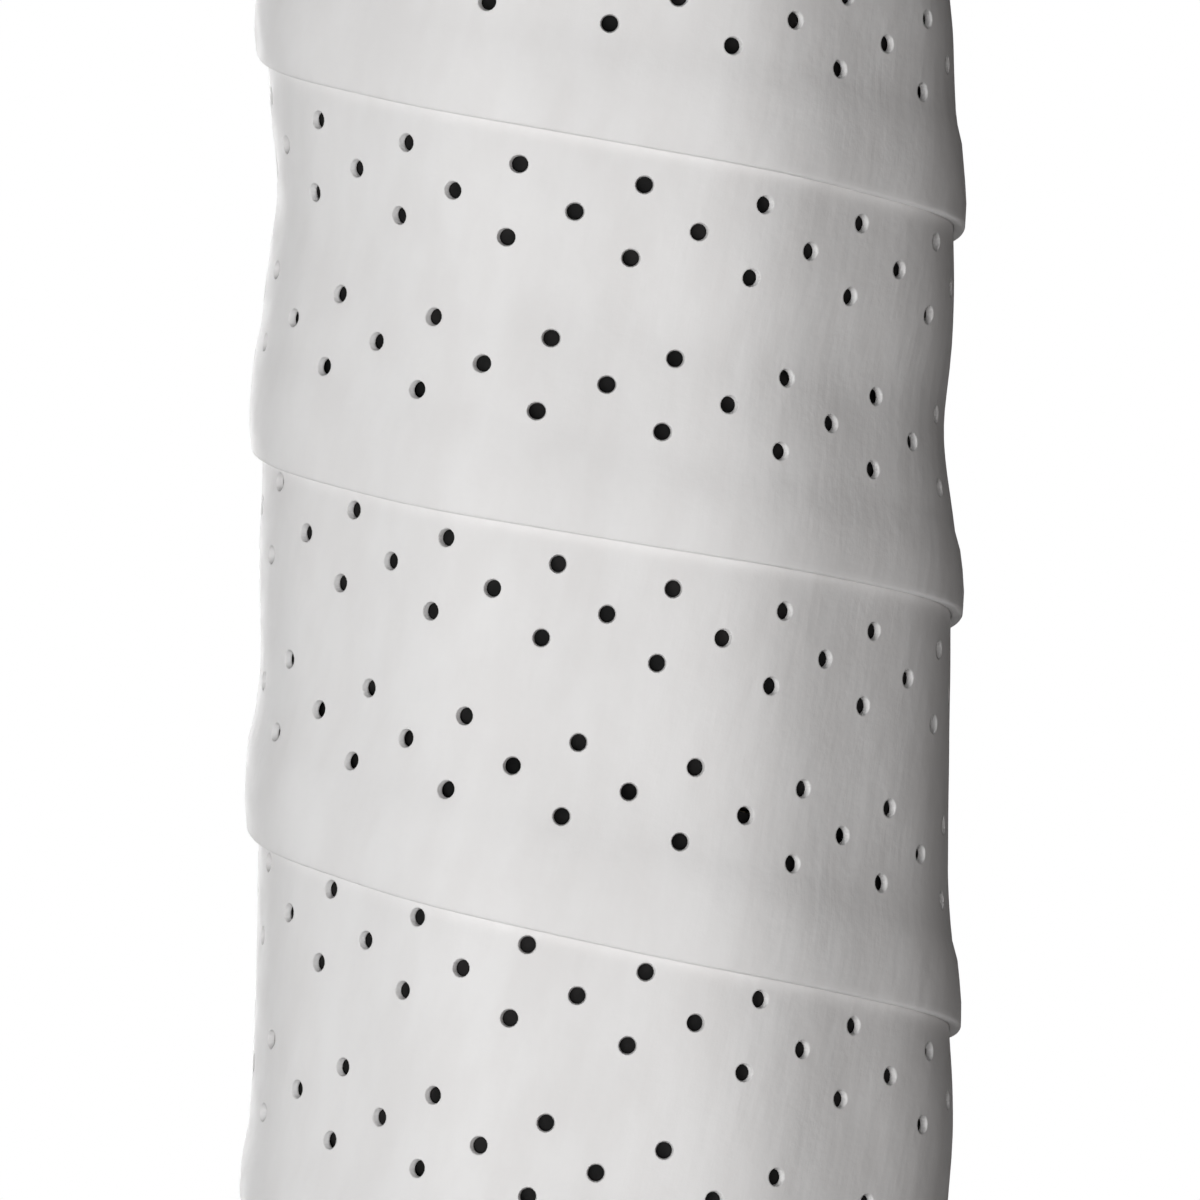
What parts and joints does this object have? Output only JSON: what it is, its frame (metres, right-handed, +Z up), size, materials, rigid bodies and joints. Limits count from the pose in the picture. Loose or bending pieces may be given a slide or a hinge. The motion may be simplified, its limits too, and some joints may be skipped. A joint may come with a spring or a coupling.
{
  "type": "wrapped racket grip",
  "caption": "Octagonal racket handle wrapped in white perforated grip tape, with flared butt cap, pull-out door, sliding rubber collar and open shaft tubes.",
  "frame": {"origin": "centre of the butt cap's flat rim, on the plane that the handle stands on", "axes": "+Z up along the handle from butt to shaft, +X across the wide way of the octagon, -Y out of the front flat"},
  "size_m": [0.0436, 0.0394, 0.246],
  "materials": {
    "overgrip": "matt white polyurethane, perforated",
    "starter_tab": "adhesive film",
    "finishing_tape": "satin vinyl film",
    "collar": "matt",
    "base_grip": "matt black cushion",
    "base_tape": "satin vinyl film",
    "staple": "galvanised wire",
    "pallet": "moulded polyurethane foam",
    "shaft": "lacquered carbon fibre",
    "butt_cap": "fine moulded texture",
    "door": "satin",
    "badge": "plain gloss, no mark"
  },
  "bodies": {
    "handle": {"overgrip": "overgrip", "overgrip_starter_tab": "starter_tab", "overgrip_finishing_tape": "finishing_tape", "base_grip": "base_grip", "base_grip_finishing_tape": "base_tape", "base_grip_staple": "staple", "pallet_left": "pallet", "pallet_right": "pallet", "shaft_tube_left": "shaft", "shaft_tube_right": "shaft", "butt_cap": "butt_cap", "butt_cap_staple_front_left": "staple", "butt_cap_staple_front_right": "staple", "butt_cap_staple_back_left": "staple", "butt_cap_staple_back_right": "staple"},
    "collar": {"rubber_collar": "collar"},
    "door": {"butt_cap_door": "door", "butt_cap_badge": "badge"}
  },
  "joints": [
    {"name": "collar_slide", "type": "slide", "parent": "handle", "child": "collar", "axis": [0, 0, 1], "range_m": [0, 0.03]},
    {"name": "door_pull", "type": "slide", "parent": "handle", "child": "door", "axis": [0, 0, -1], "range_m": [0, 0.01]}
  ]
}
